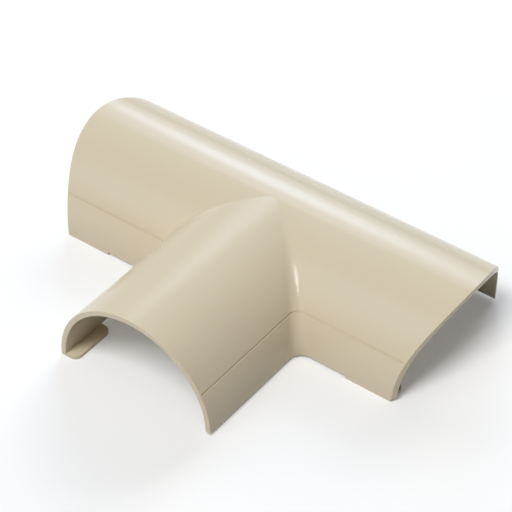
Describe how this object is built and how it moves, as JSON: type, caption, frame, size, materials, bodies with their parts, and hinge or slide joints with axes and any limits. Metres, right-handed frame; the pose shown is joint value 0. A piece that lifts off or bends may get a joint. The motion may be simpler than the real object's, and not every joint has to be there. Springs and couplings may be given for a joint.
{
  "type": "trunking tee fitting",
  "caption": "Half-round trunking tee: a thin one-piece moulded cover, open underneath, that clips over a straight cable run and a branch; bowed run mouths, scribed line, small inner feet.",
  "frame": {"origin": "where the centre lines of the run and of the branch cross, on the plane of the mounting surface", "axes": "+X along the run, -Y along the branch towards its mouth, +Z away from the mounting surface"},
  "size_m": [0.1352, 0.0947, 0.0281],
  "materials": {
    "moulding": "smooth satin-gloss moulded plastic, pale magnolia beige"
  },
  "bodies": {
    "root": {"tee_cover": "moulding"}
  },
  "joints": []
}
